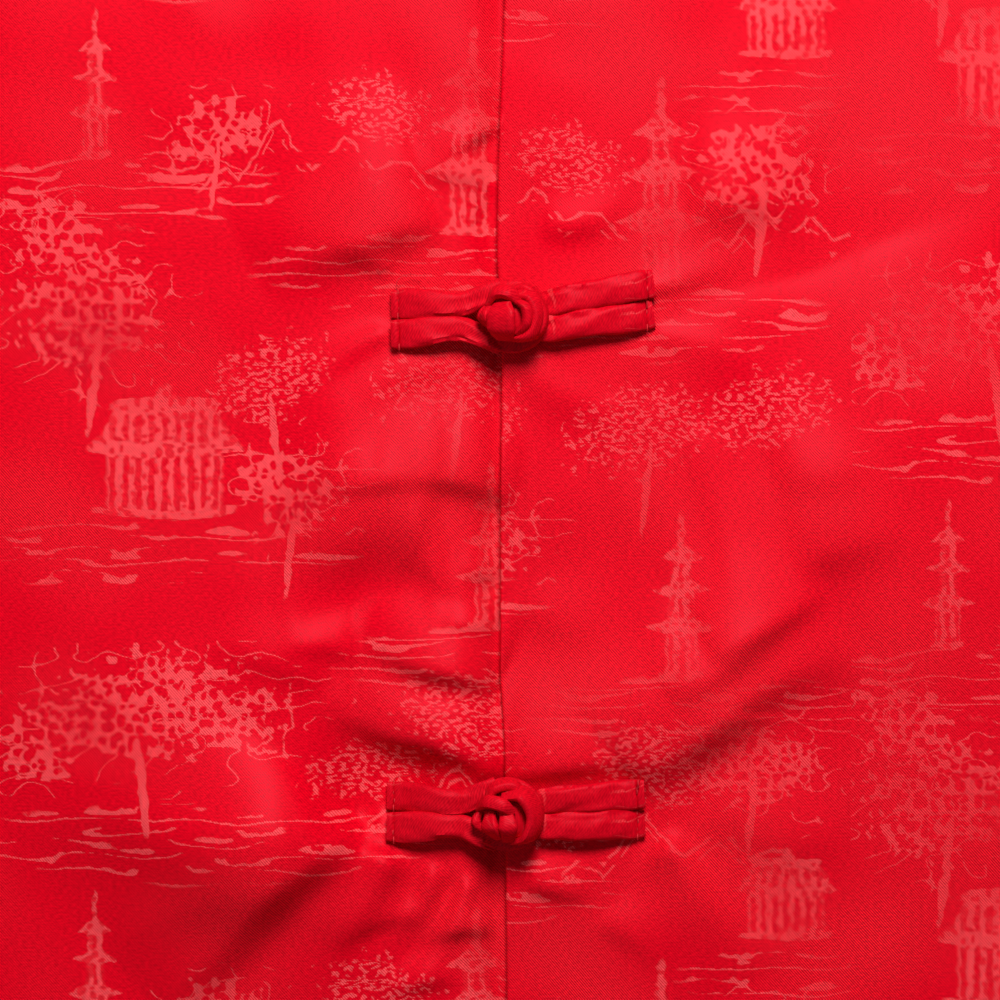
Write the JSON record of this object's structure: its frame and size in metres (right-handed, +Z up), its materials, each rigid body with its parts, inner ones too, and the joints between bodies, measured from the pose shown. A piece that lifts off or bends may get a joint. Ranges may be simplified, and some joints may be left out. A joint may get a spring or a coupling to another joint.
{
  "type": "samfu shirt",
  "caption": "Chinese satin brocade shirt laid flat and fastened: stand collar, lapped centre front, set-in sleeves, side slits and frog fastenings.",
  "frame": {"origin": "centre of the laid-out shirt's outline, on the surface it lies on", "axes": "+Z up from the surface, +Y from hem to neck, +X towards the wearer's left"},
  "size_m": [1.301, 0.7154, 0.0345],
  "materials": {
    "red_brocade": "silky damask, lighter motifs on a satin ground",
    "red_satin": "bias satin strip, soft sheen"
  },
  "bodies": {
    "root": {"front_right": "red_brocade", "front_left": "red_brocade", "back": "red_brocade", "sleeve_right": "red_brocade", "sleeve_left": "red_brocade", "collar": "red_brocade", "frog_1_loop": "red_satin", "frog_1_knot": "red_satin", "frog_2_loop": "red_satin", "frog_2_knot": "red_satin", "frog_3_loop": "red_satin", "frog_3_knot": "red_satin", "frog_4_loop": "red_satin", "frog_4_knot": "red_satin", "frog_5_loop": "red_satin", "frog_5_knot": "red_satin"}
  },
  "joints": []
}
